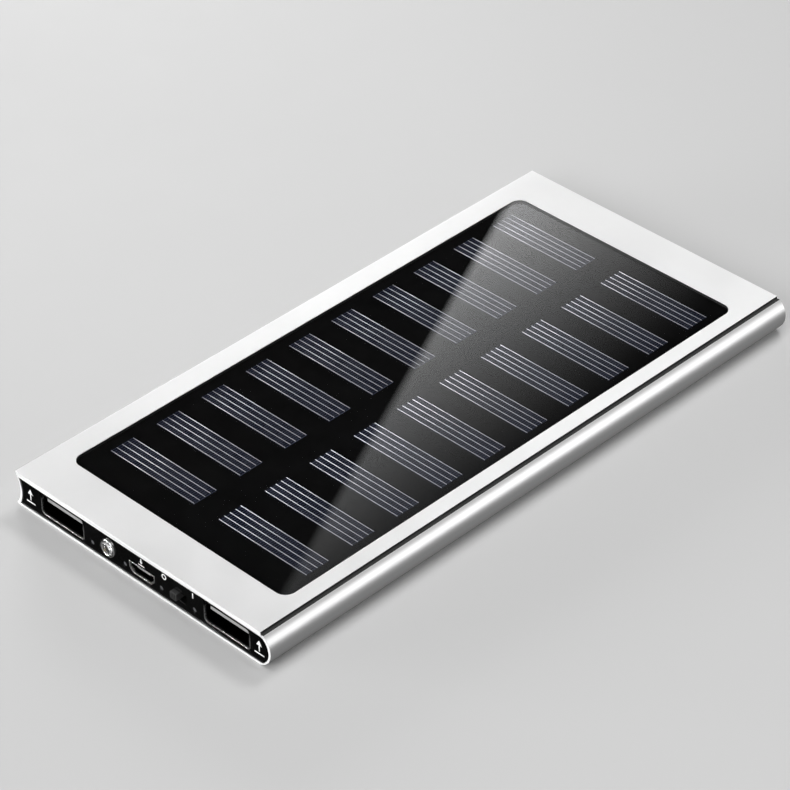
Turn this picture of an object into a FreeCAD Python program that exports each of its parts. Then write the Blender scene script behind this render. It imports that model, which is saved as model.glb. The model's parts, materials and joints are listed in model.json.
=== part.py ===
"""Slim solar phone charger: an extruded aluminium sleeve shaped like a closed book, with a solar panel in its
top, black end caps, a pair of pouch cells on a tray and a circuit board behind the port end.

Frame: origin at the middle of the flat underside, +Z up, -Y the port end, +X the rounded spine. Millimetres.
"""
import FreeCAD, Part
import os
import re
import Sketcher
from FreeCAD import Placement, Rotation, Vector

# ---------------------------------------------------------------- driving dimensions

DIMENSIONS = """
case_width 75        case_length 155      case_height 8.4      top_wall 1.15        floor_wall 0.65
fore_radius 6.4      fore_depth 1.2       fore_wall 0.65       bead_radius 0.5      spine_radius 4.4
spine_wall 0.6       groove_centre 35.2   groove_width 0.8     groove_depth 0.55    slip_gap 0.05
cap_recess 0.2       cap_thick 2.0        lug_length 5.4       lug_width 3.2        lug_base 2.35
lug_top 6.9          lug_left -33.7       lug_right 31.9
panel_centre -0.45   panel_width 63       panel_length 134.4   panel_corner 2.6     glass_thick 1.0
glass_sink 0.05      backing_lap 1.3      backing_thick 0.3    gasket_thick 0.1
cell_length 25.2     cell_width 6.4       cell_thick 0.18      cell_columns 2       cell_rows 10
column_pitch 32.3    row_pitch 12.7       cells_x -0.24        cells_y 1.2
tray_left -35.4      tray_right 34.5      tray_front -56       tray_back 75.2       tray_base 0.7
tray_thick 0.5       rail_thick 0.7       rail_top 4.6         rib_front -51.6      rib_top 2.2
ledge_top 1.5        ledge_length 2
pouch_width 33.4     pouch_front -49      pouch_length 122     pouch_thick 4.9      pouch_gap 0.6
pouch_middle -0.5    pouch_corner 1.6     tape_thick 0.15      pad_thick 0.2        pad_margin 3
tab_width 4          tab_thick 0.15       tab_reach 5          tab_height 3.8       tab_inset 8
board_left -34       board_right 34.8     board_front -75.2    board_back -52.2     board_base 1.5
board_thick 0.8      notch_gap 0.1
port_left -23.4      port_right 25        port_base 1.5        port_width 13.1      port_height 5.3
port_depth 14        port_wall 0.3        port_corner 1.0      tongue_width 11.1    tongue_thick 1.84
tongue_top 6.0       tongue_recess 0.9    tongue_chamfer 0.42  contact_width 1.0    contact_thick 0.12
contact_length 7.4
micro_x 0.4          micro_base 1.65      micro_width 7.5      micro_height 2.75    micro_depth 5
micro_wall 0.28      micro_slant 1.1      micro_tongue 3.7     blade_thick 0.6      blade_recess 0.6
pin_width 0.3        pin_pitch 0.65       pin_thick 0.08
torch_x -9.6         torch_z 3.9          torch_radius 1.55    ring_radius 2.1      ring_lip 0.35
dome_reach 1.0       torch_length 5
hole_z 2.5           hole_radius 0.6      pipe_length 1.9      lamp_width 1.0       lamp_height 0.7
lamp_length 0.8
slot_centre 11.45    slot_length 4.1      slot_height 2.2      slot_z 3.55          knob_width 1.9
knob_height 1.8      knob_reach 1.0       slider_length 4.0    switch_width 7.0     switch_depth 4
switch_top 5.4       switch_wall 0.3      slider_thick 1.4     knob_corner 0.3      slide_travel 2.0
chip_width 5         chip_thick 0.9       coil_width 7         coil_thick 3.2       coil_corner 1.2
capacitor_length 3.2 capacitor_width 1.6  capacitor_thick 1.3  diode_length 4.3     diode_width 2.6
diode_thick 2.0      lead_radius 0.45     lead_bend 1.2        lead_front -61.4      lead_back -57
screw_y -72          screw_radius 0.8     screw_length 3.4     head_radius 1.3      head_thick 0.5       pilot_radius 0.65
"""

TOP_FACE, FRONT_FACE, SIDE_FACE = "XY_Plane", "XZ_Plane", "YZ_Plane"
LAMP_PLACES = (-14.5, -4.7, 6.0, 15.6)          # x of the battery-level lamps
PORT_CONTACTS = (-3.5, -1.0, 1.0, 3.5)          # x of a socket's contacts from its middle
LEAD_PLACES = (("solar_lead_positive", 8.0), ("solar_lead_negative", 10.4))
CAPACITOR_PLACES = ((-12.5, -60), (-12.5, -63.4), (13.2, -60), (13.2, -63.4), (-27, -57.5), (-21, -57.5))
TAB_OFFSETS = (-8, 8)                           # a pouch's two tabs, from its middle

doc = FreeCAD.newDocument("SolarCharger")
sheet = doc.addObject("Spreadsheet::Sheet", "Sizes")
words = DIMENSIONS.split()
for row, (alias, number) in enumerate(zip(words[::2], words[1::2]), start=1):
    sheet.set(f"A{row}", alias)
    sheet.set(f"B{row}", number)
    sheet.setAlias(f"B{row}", alias)
doc.recompute()


# ---------------------------------------------------------------- helpers

def bound(formula):
    """The formula with each alias written as a cell of the sheet."""
    return re.sub(r"\b([a-z]+_[a-z_]+)\b", r"Sizes.\1", str(formula))


def value(formula):
    """What the formula comes to now."""
    return float(sheet.evalExpression(bound(formula)))


def bind(thing, **formulas):
    for name, formula in formulas.items():
        thing.setExpression(name.replace("__", "."), bound(formula))
    return thing


def place(solid, x, y, z):
    return bind(solid, Placement__Base__x=x, Placement__Base__y=y, Placement__Base__z=z)


def box(name, x, y, z, length, width, height):
    """A block from its low corner and its lengths along X, Y and Z."""
    solid = doc.addObject("Part::Box", name)
    bind(solid, Length=length, Width=width, Height=height)
    return place(solid, x, y, z)


def rod(name, x, y, z, radius, length, axis=Vector(0, 1, 0)):
    """A cylinder from the middle of its first end."""
    solid = doc.addObject("Part::Cylinder", name)
    solid.Placement = Placement(Vector(), Rotation(Vector(0, 0, 1), axis))
    bind(solid, Radius=radius, Height=length)
    return place(solid, x, y, z)


def join(kind, name, **links):
    solid = doc.addObject(kind, name)
    for link, target in links.items():
        setattr(solid, link, target)
    return solid


def cut(name, base, *tools):
    tool = tools[0] if len(tools) == 1 else join("Part::MultiFuse", name + "_tools", Shapes=list(tools))
    return join("Part::Cut", name, Base=base, Tool=tool)


def fuse(name, *solids):
    return join("Part::MultiFuse", name, Shapes=list(solids))


def group(name, *solids):
    return join("Part::Compound", name, Links=list(solids))


def sketch_on(body, role, name, offset):
    """A sketch parallel to one of the body's own origin planes, the offset along that plane's normal."""
    sketch = body.newObject("Sketcher::SketchObject", name)
    plane = next(item for item in body.Origin.OriginFeatures if item.Role == role)
    sketch.AttachmentSupport = [(plane, "")]
    sketch.MapMode = "FlatFace"
    bind(sketch, AttachmentOffset__Base__z=offset)
    return sketch


def draw(sketch, corners, arcs=None):
    """A closed outline through the corners, given anticlockwise. arcs gives an edge its (radius, hollow)."""
    arcs = arcs or {}
    spots = [Vector(value(x), value(y), 0) for x, y in corners]
    ends = []
    for number, start in enumerate(spots):
        finish = spots[(number + 1) % len(spots)]
        if number not in arcs:
            ends.append((sketch.addGeometry(Part.LineSegment(start, finish), False), 1, 2))
            continue
        radius, hollow = arcs[number]
        chord = finish - start
        rise = (value(radius) ** 2 - chord.Length ** 2 / 4) ** 0.5
        inward = Vector(-chord.y, chord.x, 0).normalize()
        side = -1 if hollow else 1
        centre = (start + finish) * 0.5 + inward * rise * side
        crown = centre - inward * value(radius) * side
        arc = sketch.addGeometry(Part.Arc(start, crown, finish), False)
        nearer = sketch.getPoint(arc, 1).distanceToPoint(start) < sketch.getPoint(arc, 2).distanceToPoint(start)
        ends.append((arc, 1, 2) if nearer else (arc, 2, 1))
        rule = sketch.addConstraint(Sketcher.Constraint("Radius", arc, value(radius)))
        sketch.setExpression(f"Constraints[{rule}]", bound(radius))
    for number, (edge, first, last) in enumerate(ends):
        following, its_first, _ = ends[(number + 1) % len(ends)]
        sketch.addConstraint(Sketcher.Constraint("Coincident", edge, last, following, its_first))
        for kind, formula in zip(("DistanceX", "DistanceY"), corners[number]):
            rule = sketch.addConstraint(Sketcher.Constraint(kind, -1, 1, edge, first, value(formula)))
            sketch.setExpression(f"Constraints[{rule}]", bound(formula))
    return sketch


def rectangle(sketch, left, right, low, high, corner=None):
    """A rectangle, with round corners when their radius is given."""
    if corner is None:
        return draw(sketch, [(left, low), (right, low), (right, high), (left, high)])
    turn = (f"({corner})", False)
    corners = [(f"{left} + {turn[0]}", low), (f"{right} - {turn[0]}", low), (right, f"{low} + {turn[0]}"),
               (right, f"{high} - {turn[0]}"), (f"{right} - {turn[0]}", high), (f"{left} + {turn[0]}", high),
               (left, f"{high} - {turn[0]}"), (left, f"{low} + {turn[0]}")]
    return draw(sketch, corners, {1: turn, 3: turn, 5: turn, 7: turn})


def body_named(name):
    return doc.addObject("PartDesign::Body", name)


def pad(body, sketch, length):
    feature = body.newObject("PartDesign::Pad", sketch.Name + "_pad")
    feature.Profile = sketch
    sketch.Visibility = False
    bind(feature, Length=length)
    doc.recompute()
    return feature


def pocket(body, sketch, length, reverse=False):
    """Cuts along the sketch's normal turned round, or along the normal itself when reverse is set."""
    before = body.Shape.Volume
    feature = body.newObject("PartDesign::Pocket", sketch.Name + "_pocket")
    feature.Profile = sketch
    feature.Reversed = reverse
    bind(feature, Length=length)
    doc.recompute()
    if body.Shape.Volume > before - 1e-6:
        raise RuntimeError(f"{feature.Name} cuts nothing")
    return feature


def slab(name, left, right, low, high, base, thick, corner=None):
    """A flat piece lying level, with its four corners round when a radius is given."""
    body = body_named(name)
    outline = sketch_on(body, TOP_FACE, name + "_outline", base)
    pad(body, rectangle(outline, left, right, low, high, corner), thick)
    return body


# ---------------------------------------------------------------- casing

HALF_WIDTH = "case_width / 2"
HALF_LENGTH = "case_length / 2"
CAVITY_TOP = "(case_height - top_wall)"
CAVITY_MIDDLE = "(floor_wall + (case_height - top_wall - floor_wall) / 2)"


def case_outline(sketch):
    """The sleeve's outer section: hollow fore-edge on -X, round spine on +X."""
    spine_x = f"({HALF_WIDTH} - spine_radius + sqrt(spine_radius ^ 2 - case_height ^ 2 / 4))"
    corners = [(f"bead_radius - {HALF_WIDTH}", "0"), (spine_x, "0"), (spine_x, "case_height"),
               (f"-{HALF_WIDTH}", "case_height"), (f"-{HALF_WIDTH}", "bead_radius")]
    return draw(sketch, corners, {1: ("spine_radius", False), 3: ("fore_radius", True), 4: ("bead_radius", False)})


def cavity_outline(sketch, gap):
    """The section of the space inside the sleeve, drawn in by a gap."""
    radius = f"(spine_radius - spine_wall - {gap})"
    low, high = f"(floor_wall + {gap})", f"({CAVITY_TOP} - {gap})"
    spine_x = f"({HALF_WIDTH} - spine_radius + sqrt({radius} ^ 2 - ({high} - {low}) ^ 2 / 4))"
    hollow = f"(fore_radius + fore_wall + {gap})"
    fore_x = f"(fore_depth - {HALF_WIDTH} - fore_radius + sqrt({hollow} ^ 2 - ({high} - {low}) ^ 2 / 4))"
    corners = [(fore_x, low), (spine_x, low), (spine_x, high), (fore_x, high)]
    return draw(sketch, corners, {1: (radius, False), 3: (hollow, True)})


def window_edges(grow):
    """Left, right, low and high of the panel's window, grown by a margin."""
    return (f"panel_centre - panel_width / 2 - ({grow})", f"panel_centre + panel_width / 2 + ({grow})",
            f"-panel_length / 2 - ({grow})", f"panel_length / 2 + ({grow})")


def make_sleeve():
    body = body_named("aluminium_sleeve")
    far_end = f"-{HALF_LENGTH}"
    pad(body, case_outline(sketch_on(body, FRONT_FACE, "sleeve_section", far_end)), "case_length")
    cavity = cavity_outline(sketch_on(body, FRONT_FACE, "sleeve_cavity", far_end), "0")
    pocket(body, cavity, "case_length", reverse=True)
    groove = rectangle(sketch_on(body, FRONT_FACE, "sleeve_groove", far_end), "groove_centre - groove_width / 2",
                       "groove_centre + groove_width / 2", "case_height - groove_depth", "case_height + 1")
    pocket(body, groove, "case_length", reverse=True)
    window = sketch_on(body, TOP_FACE, "sleeve_window", "case_height")
    pocket(body, rectangle(window, *window_edges("slip_gap"), "panel_corner + slip_gap"), "top_wall")
    return body


def cap_plate(name, offset):
    body = body_named(name)
    pad(body, cavity_outline(sketch_on(body, FRONT_FACE, name + "_section", offset), "slip_gap"), "cap_thick")
    return body


def make_port_cap():
    """The plate with every opening, and two lugs that the circuit board is screwed to."""
    face = f"({HALF_LENGTH} - cap_recess)"
    body = cap_plate("port_end_cap", f"{face} - cap_thick")
    for side in ("lug_left", "lug_right"):
        lug = rectangle(sketch_on(body, FRONT_FACE, side + "_section", f"{face} - cap_thick - lug_length"),
                        side, f"{side} + lug_width", "lug_base", "lug_top")
        pad(body, lug, "lug_length")
    for side in ("port_left", "port_right"):
        hole = rectangle(sketch_on(body, FRONT_FACE, side + "_hole", face),
                         f"{side} - port_width / 2 - slip_gap", f"{side} + port_width / 2 + slip_gap",
                         "port_base - slip_gap", "port_base + port_height + slip_gap")
        pocket(body, hole, "cap_thick")
    pocket(body, micro_outline(sketch_on(body, FRONT_FACE, "micro_hole", face), "-slip_gap"), "cap_thick")
    slot = rectangle(sketch_on(body, FRONT_FACE, "switch_slot", face), "slot_centre - slot_length / 2",
                     "slot_centre + slot_length / 2", "slot_z - slot_height / 2", "slot_z + slot_height / 2")
    pocket(body, slot, "cap_thick")
    rounds = sketch_on(body, FRONT_FACE, "round_holes", face)
    circle(rounds, "torch_x", "torch_z", "ring_radius + slip_gap")
    for place_x in LAMP_PLACES:
        circle(rounds, place_x, "hole_z", "hole_radius")
    pocket(body, rounds, "cap_thick")
    pilots = sketch_on(body, TOP_FACE, "pilot_holes", "lug_base")
    for side in ("lug_left", "lug_right"):
        circle(pilots, f"{side} + lug_width / 2", "screw_y", "pilot_radius")
    pocket(body, pilots, "screw_length - lug_base + board_base", reverse=True)
    return body


def circle(sketch, x, y, radius):
    ring = sketch.addGeometry(Part.Circle(Vector(value(x), value(y), 0), Vector(0, 0, 1), value(radius)), False)
    rules = [("DistanceX", (-1, 1, ring, 3), x), ("DistanceY", (-1, 1, ring, 3), y), ("Radius", (ring,), radius)]
    for kind, ends, formula in rules:
        rule = sketch.addConstraint(Sketcher.Constraint(kind, *ends, value(formula)))
        sketch.setExpression(f"Constraints[{rule}]", bound(formula))


def make_tail_cap():
    """The plain plate at the far end, with a plug that grips the tray."""
    body = cap_plate("tail_end_cap", f"cap_recess - {HALF_LENGTH}")
    return body


# ---------------------------------------------------------------- solar panel

def make_panel():
    glass_low = "(case_height - glass_sink - glass_thick)"
    backing_top = f"({CAVITY_TOP} - gasket_thick)"
    glass = slab("solar_glass", *window_edges("0"), glass_low, "glass_thick", "panel_corner")
    backing = slab("solar_backing_board", *window_edges("backing_lap"), f"{backing_top} - backing_thick",
                   "backing_thick", "panel_corner + backing_lap")
    gasket = slab("panel_gasket", *window_edges("backing_lap - slip_gap"), backing_top, "gasket_thick",
                  "panel_corner + backing_lap")
    opening = sketch_on(gasket, TOP_FACE, "gasket_opening", CAVITY_TOP)
    pocket(gasket, rectangle(opening, *window_edges("slip_gap"), "panel_corner + slip_gap"), "gasket_thick")
    cells = []
    for column in range(int(value("cell_columns"))):
        for row in range(int(value("cell_rows"))):
            x = f"cells_x + ({column} - (cell_columns - 1) / 2) * column_pitch - cell_length / 2"
            y = f"cells_y + ({row} - (cell_rows - 1) / 2) * row_pitch - cell_width / 2"
            cells.append(box(f"cell_{column}_{row}", x, y, backing_top, "cell_length", "cell_width", "cell_thick"))
    return [glass, backing, gasket, group("solar_cells", *cells)]


# ---------------------------------------------------------------- tray and battery

def make_tray():
    """A tray for the cells: floor, two rails, a rib in front of the cells and a ledge under the board."""
    length = "tray_back - tray_front"
    rail_height = "rail_top - tray_base"
    floor = box("tray_floor", "tray_left", "tray_front", "tray_base", "tray_right - tray_left", length, "tray_thick")
    left = box("tray_left_rail", "tray_left", "rib_front", "tray_base", "rail_thick", "tray_back - rib_front",
               rail_height)
    right = box("tray_right_rail", "tray_right - rail_thick", "rib_front", "tray_base", "rail_thick",
                "tray_back - rib_front", rail_height)
    rib = box("tray_rib", "tray_left", "rib_front", "tray_base", "tray_right - tray_left", "rail_thick",
              "rib_top - tray_base")
    ledge = box("tray_ledge", "tray_left + 3", "tray_front", "tray_base", "tray_right - tray_left - 6",
                "ledge_length", "ledge_top - tray_base")
    return fuse("battery_tray", floor, left, right, rib, ledge)


def make_battery():
    floor = "(tray_base + tray_thick)"
    base = f"({floor} + tape_thick)"
    pieces = []
    sides = (("left", "(pouch_middle - pouch_gap / 2 - pouch_width)"), ("right", "(pouch_middle + pouch_gap / 2)"))
    tabs = []
    for side, left in sides:
        pouch = slab(f"battery_pouch_{side}", left, f"{left} + pouch_width", "pouch_front",
                     "pouch_front + pouch_length", base, "pouch_thick", "pouch_corner")
        pieces.append(pouch)
        for number, offset in enumerate(TAB_OFFSETS):
            x = f"{left} + pouch_width / 2 + {offset} - tab_width / 2"
            strip = box(f"tab_{side}_{number}_strip", x, "pouch_front - tab_reach - tab_thick", "tab_height",
                        "tab_width", "tab_reach + tab_thick", "tab_thick")
            foot = box(f"tab_{side}_{number}_foot", x, "pouch_front - tab_reach - 2 * tab_thick",
                       "board_base + board_thick", "tab_width", "tab_thick",
                       "tab_height + tab_thick - board_base - board_thick")
            tabs.append(fuse(f"tab_{side}_{number}", strip, foot))
    pieces.append(group("battery_tabs", *tabs))
    tapes = [box(f"tape_{side}", f"{left} + pad_margin", "pouch_front + pad_margin", floor,
                 "pouch_width - 2 * pad_margin", "pouch_length - 2 * pad_margin", "tape_thick")
             for side, left in sides]
    pads = [box(f"pad_{side}", f"{left} + pad_margin", "pouch_front + pad_margin", f"{base} + pouch_thick",
                "pouch_width - 2 * pad_margin", "pouch_length - 2 * pad_margin", "pad_thick")
            for side, left in sides]
    return pieces + [group("battery_tapes", *tapes), group("foam_pads", *pads)]


# ---------------------------------------------------------------- circuit board and what stands on it

BOARD_TOP = "(board_base + board_thick)"
FACE = f"(cap_recess - {HALF_LENGTH})"          # y of the port end's black face


def make_board():
    board = slab("circuit_board", "board_left", "board_right", "board_front", "board_back", "board_base",
                 "board_thick")
    notches = [("port_left", "port_width", "port_depth"), ("port_right", "port_width", "port_depth"),
               ("micro_x", "micro_width", "micro_depth")]
    for middle, width, depth in notches:
        sketch = sketch_on(board, TOP_FACE, f"notch_{middle}", BOARD_TOP)
        half = f"({width} / 2 + notch_gap)"
        edges = f"{middle} - {half}", f"{middle} + {half}", "board_front - 1", f"{FACE} + {depth} + notch_gap"
        pocket(board, rectangle(sketch, *edges), "board_thick")
    holes = sketch_on(board, TOP_FACE, "screw_holes", BOARD_TOP)
    for side in ("lug_left", "lug_right"):
        circle(holes, f"{side} + lug_width / 2", "screw_y", "screw_radius + slip_gap")
    pocket(board, holes, "board_thick")
    return board


def make_port(side):
    """One full-size output socket: its bent shell, the tongue and four contacts under the tongue."""
    middle = f"port_{side}"
    shell = body_named(f"output_shell_{side}")
    left, right = f"{middle} - port_width / 2", f"{middle} + port_width / 2"
    low, high = "port_base", "port_base + port_height"
    outside = sketch_on(shell, FRONT_FACE, f"{middle}_shell", f"-({FACE} + port_depth)")
    pad(shell, rectangle(outside, left, right, low, high, "port_corner"), "port_depth")
    throat = sketch_on(shell, FRONT_FACE, f"{middle}_throat", f"-{FACE}")
    pocket(shell, rectangle(throat, f"{left} + port_wall", f"{right} - port_wall", f"{low} + port_wall",
                            f"{high} - port_wall", "port_corner - port_wall"), "port_depth - port_wall")

    tip, root = f"({FACE} + tongue_recess)", f"({FACE} + port_depth - port_wall)"
    underside = "(tongue_top - tongue_thick)"
    tongue = body_named(f"output_tongue_{side}")
    profile = sketch_on(tongue, SIDE_FACE, f"{middle}_tongue", f"{middle} - tongue_width / 2")
    draw(profile, [(f"{tip} + tongue_chamfer", underside), (root, underside), (root, "tongue_top"),
                   (f"{tip} + tongue_chamfer", "tongue_top"), (tip, "tongue_top - tongue_chamfer"),
                   (tip, f"{underside} + tongue_chamfer")])
    pad(tongue, profile, "tongue_width")
    contacts = [box(f"contact_{side}_{number}", f"{middle} + {offset} - contact_width / 2",
                    f"{tip} + 2 * tongue_chamfer", f"{underside} - contact_thick", "contact_width", "contact_length",
                    "contact_thick") for number, offset in enumerate(PORT_CONTACTS)]
    return [shell, tongue, group(f"output_contacts_{side}", *contacts)]


def micro_outline(sketch, wall):
    """The small input socket's section: wide side up, lower corners slanted, drawn in by a wall."""
    half = f"(micro_width / 2 - ({wall}))"
    low, high = f"(micro_base + ({wall}))", f"(micro_base + micro_height - ({wall}))"
    corners = [(f"micro_x - {half} + micro_slant", low), (f"micro_x + {half} - micro_slant", low),
               (f"micro_x + {half}", f"{low} + micro_slant"), (f"micro_x + {half}", high),
               (f"micro_x - {half}", high), (f"micro_x - {half}", f"{low} + micro_slant")]
    return draw(sketch, corners)


def make_micro_port():
    shell = body_named("input_shell")
    pad(shell, micro_outline(sketch_on(shell, FRONT_FACE, "input_outside", f"-({FACE} + micro_depth)"), "0"),
        "micro_depth")
    pocket(shell, micro_outline(sketch_on(shell, FRONT_FACE, "input_inside", f"-{FACE}"), "micro_wall"),
           "micro_depth - micro_wall")
    blade_low = "(micro_base + micro_height / 2 + 0.1)"
    blade = box("input_tongue", "micro_x - micro_tongue / 2", f"{FACE} + blade_recess", blade_low, "micro_tongue",
                "micro_depth - micro_wall - blade_recess", "blade_thick")
    pins = [box(f"input_pin_{number}", f"micro_x + {number - 2} * pin_pitch - pin_width / 2",
                f"{FACE} + blade_recess + 0.3", f"{blade_low} - pin_thick", "pin_width",
                "micro_depth - micro_wall - blade_recess - 0.6", "pin_thick") for number in range(5)]
    return [shell, blade, group("input_contacts", *pins)]


def make_torch():
    """The torch lamp: a clear bullet with a round nose, in a bright ring pressed into the cap."""
    body = rod("torch_stem", "torch_x", f"{FACE} + 0", "torch_z", "torch_radius", "torch_length")
    nose = doc.addObject("Part::Sphere", "torch_nose")
    bind(nose, Radius="(torch_radius ^ 2 + dome_reach ^ 2) / (2 * dome_reach)")
    place(nose, "torch_x", f"{FACE} - dome_reach + (torch_radius ^ 2 + dome_reach ^ 2) / (2 * dome_reach)",
          "torch_z")
    ahead = rod("torch_ahead", "torch_x", f"{FACE} - dome_reach - 1", "torch_z", "torch_radius", "dome_reach + 1")
    lamp = fuse("torch_lamp", body, join("Part::Common", "torch_dome", Base=nose, Tool=ahead))
    outer = rod("ring_outer", "torch_x", f"{FACE} - ring_lip", "torch_z", "ring_radius", "cap_thick + ring_lip")
    bore = rod("ring_bore", "torch_x", f"{FACE} - ring_lip - 1", "torch_z", "torch_radius + slip_gap",
               "cap_thick + ring_lip + 2")
    return [lamp, cut("torch_ring", outer, bore)]


def make_lamps():
    """Four lamps at the board's front edge, each with a clear pipe through the cap."""
    pipes = [rod(f"pipe_{number}", x, f"{FACE} + 0", "hole_z", "hole_radius - slip_gap", "pipe_length")
             for number, x in enumerate(LAMP_PLACES)]
    lamps = [box(f"lamp_{number}", f"{x} - lamp_width / 2", "board_front", BOARD_TOP, "lamp_width", "lamp_length",
                 "lamp_height") for number, x in enumerate(LAMP_PLACES)]
    return [group("level_pipes", *pipes), group("level_lamps", *lamps)]


def make_switch():
    """A slide switch: an open-fronted case on the board, and the slider whose knob stands out of the cap."""
    front = "(board_front + 0.1)"
    left = "(slot_centre - switch_width / 2)"
    case = box("switch_block", left, front, BOARD_TOP, "switch_width", "switch_depth", f"switch_top - {BOARD_TOP}")
    room = box("switch_room", f"{left} + switch_wall", f"{front} - 1", f"{BOARD_TOP} + switch_wall",
               "switch_width - 2 * switch_wall", "switch_depth - switch_wall + 1",
               f"switch_top - {BOARD_TOP} - 2 * switch_wall")
    rest = "(slot_centre - slide_travel / 2)"
    body = body_named("switch_slider")
    inner = rectangle(sketch_on(body, FRONT_FACE, "slider_block", f"-({front} + slider_thick + 0.2)"),
                      f"{rest} - slider_length / 2", f"{rest} + slider_length / 2",
                      "slot_z - knob_height / 2", "slot_z + knob_height / 2")
    pad(body, inner, "slider_thick")
    knob = rectangle(sketch_on(body, FRONT_FACE, "slider_knob", f"-({front} + 0.2)"),
                     f"{rest} - knob_width / 2", f"{rest} + knob_width / 2",
                     "slot_z - knob_height / 2", "slot_z + knob_height / 2", "knob_corner")
    pad(body, knob, f"{front} + 0.2 - {FACE} + knob_reach")
    return [cut("switch_case", case, room), body]


def make_board_parts():
    """The chips, choke, capacitors and diodes that charge the cells and feed the sockets."""
    charge = box("charging_chip", "-9", "-66", BOARD_TOP, "chip_width", "chip_width", "chip_thick")
    boost = box("boost_chip", "-2", "-64", BOARD_TOP, "chip_width", "chip_width", "chip_thick")
    coil = slab("boost_coil", "5", "5 + coil_width", "-69.6", "-69.6 + coil_width", BOARD_TOP, "coil_thick",
                "coil_corner")
    capacitors = [box(f"capacitor_{number}", x, y, BOARD_TOP, "capacitor_length", "capacitor_width",
                      "capacitor_thick") for number, (x, y) in enumerate(CAPACITOR_PLACES)]
    diodes = [box(f"diode_{number}", x, "-57.4", BOARD_TOP, "diode_length", "diode_width", "diode_thick")
              for number, x in enumerate((19.5, 26))]
    return [charge, boost, coil, group("capacitors", *capacitors), group("diodes", *diodes)]


def make_leads():
    """Two insulated wires that climb from the circuit board to the panel's backing board."""
    radius, bend = value("lead_radius"), value("lead_bend")
    low, high = value(BOARD_TOP), value(f"{CAVITY_TOP} - gasket_thick - backing_thick")
    front, back, middle = value("lead_front"), value("lead_back"), (low + high) / 2
    leads = []
    for name, x in LEAD_PLACES:
        corners = [Vector(x, front, low), Vector(x, front, middle), Vector(x, back, middle), Vector(x, back, high)]
        runs = [Part.LineSegment(corners[0], corners[1] - Vector(0, 0, bend)),
                bend_between(corners[0], corners[1], corners[2], bend),
                Part.LineSegment(corners[1] + Vector(0, bend, 0), corners[2] - Vector(0, bend, 0)),
                bend_between(corners[1], corners[2], corners[3], bend),
                Part.LineSegment(corners[2] + Vector(0, 0, bend), corners[3])]
        spine = Part.Wire([run.toShape() for run in runs])
        section = Part.Wire(Part.Circle(corners[0], Vector(0, 0, 1), radius).toShape())
        lead = doc.addObject("Part::Feature", name)
        lead.Shape = spine.makePipeShell([section], True, True)
        leads.append(lead)
    return leads


def bend_between(before, corner, after, radius):
    """A quarter bend of the radius round a corner."""
    back, onward = (before - corner).normalize(), (after - corner).normalize()
    centre = corner + (back + onward) * radius
    crown = centre - (back + onward).normalize() * radius
    return Part.Arc(corner + back * radius, crown, corner + onward * radius)


def make_screws():
    screws = []
    for side in ("left", "right"):
        x = f"lug_{side} + lug_width / 2"
        head = rod(f"screw_{side}_head", x, "screw_y", "board_base - head_thick", "head_radius", "head_thick",
                   Vector(0, 0, 1))
        shank = rod(f"screw_{side}_shank", x, "screw_y", "board_base - 0.1", "screw_radius", "screw_length + 0.1",
                    Vector(0, 0, 1))
        screws.append(fuse(f"screw_{side}", head, shank))
    return group("board_screws", *screws)


# ---------------------------------------------------------------- build, check and write

pieces = [make_sleeve(), make_port_cap(), make_tail_cap(), *make_panel(), make_tray(), *make_battery(),
          make_board(), *make_port("left"), *make_port("right"), *make_micro_port(), *make_torch(), *make_lamps(),
          *make_switch(), *make_board_parts(), *make_leads(), make_screws()]
doc.recompute()
for item in doc.Objects:
    if {"Invalid", "Error"} & set(item.State):
        raise RuntimeError(f"{item.Name} failed: {item.State}")
os.makedirs("parts", exist_ok=True)
for piece in pieces:
    piece.Label = piece.Name
    if piece.Shape.isNull() or not piece.Shape.isValid() or not piece.Shape.Solids:
        raise RuntimeError(f"{piece.Label} has no valid solid")
    piece.Shape.exportStep(f"parts/{piece.Label}.step")
    print(piece.Label, len(piece.Shape.Solids), round(piece.Shape.Volume, 2), piece.Shape.BoundBox)
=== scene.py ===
"""Looks of the slim solar phone charger: a blasted aluminium sleeve, cells under glass and a black port end.

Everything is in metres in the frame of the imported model: +Z out of the solar panel, -Y out of the port end
and +X towards the round spine, with the origin in the middle of the flat underside.
"""
import json
import math
import bmesh
import bpy
from mathutils import Matrix, Vector


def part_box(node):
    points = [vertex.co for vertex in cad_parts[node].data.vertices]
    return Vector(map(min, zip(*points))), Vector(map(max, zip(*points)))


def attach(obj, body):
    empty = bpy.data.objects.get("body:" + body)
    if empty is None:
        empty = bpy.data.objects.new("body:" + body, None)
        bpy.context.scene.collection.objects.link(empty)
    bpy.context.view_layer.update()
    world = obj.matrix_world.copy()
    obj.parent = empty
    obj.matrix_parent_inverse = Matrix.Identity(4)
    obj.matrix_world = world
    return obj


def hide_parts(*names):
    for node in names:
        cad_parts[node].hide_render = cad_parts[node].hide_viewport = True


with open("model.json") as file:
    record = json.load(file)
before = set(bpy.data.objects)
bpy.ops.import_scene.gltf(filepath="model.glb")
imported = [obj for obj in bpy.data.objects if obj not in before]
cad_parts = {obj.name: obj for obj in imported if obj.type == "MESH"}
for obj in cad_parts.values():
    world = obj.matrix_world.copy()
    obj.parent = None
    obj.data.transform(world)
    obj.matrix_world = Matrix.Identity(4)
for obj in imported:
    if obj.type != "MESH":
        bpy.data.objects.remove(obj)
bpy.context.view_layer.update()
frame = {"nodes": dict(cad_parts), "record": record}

MM = 0.001
NODES = frame["nodes"]
X, Y, Z = Vector((1, 0, 0)), Vector((0, 1, 0)), Vector((0, 0, 1))

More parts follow.
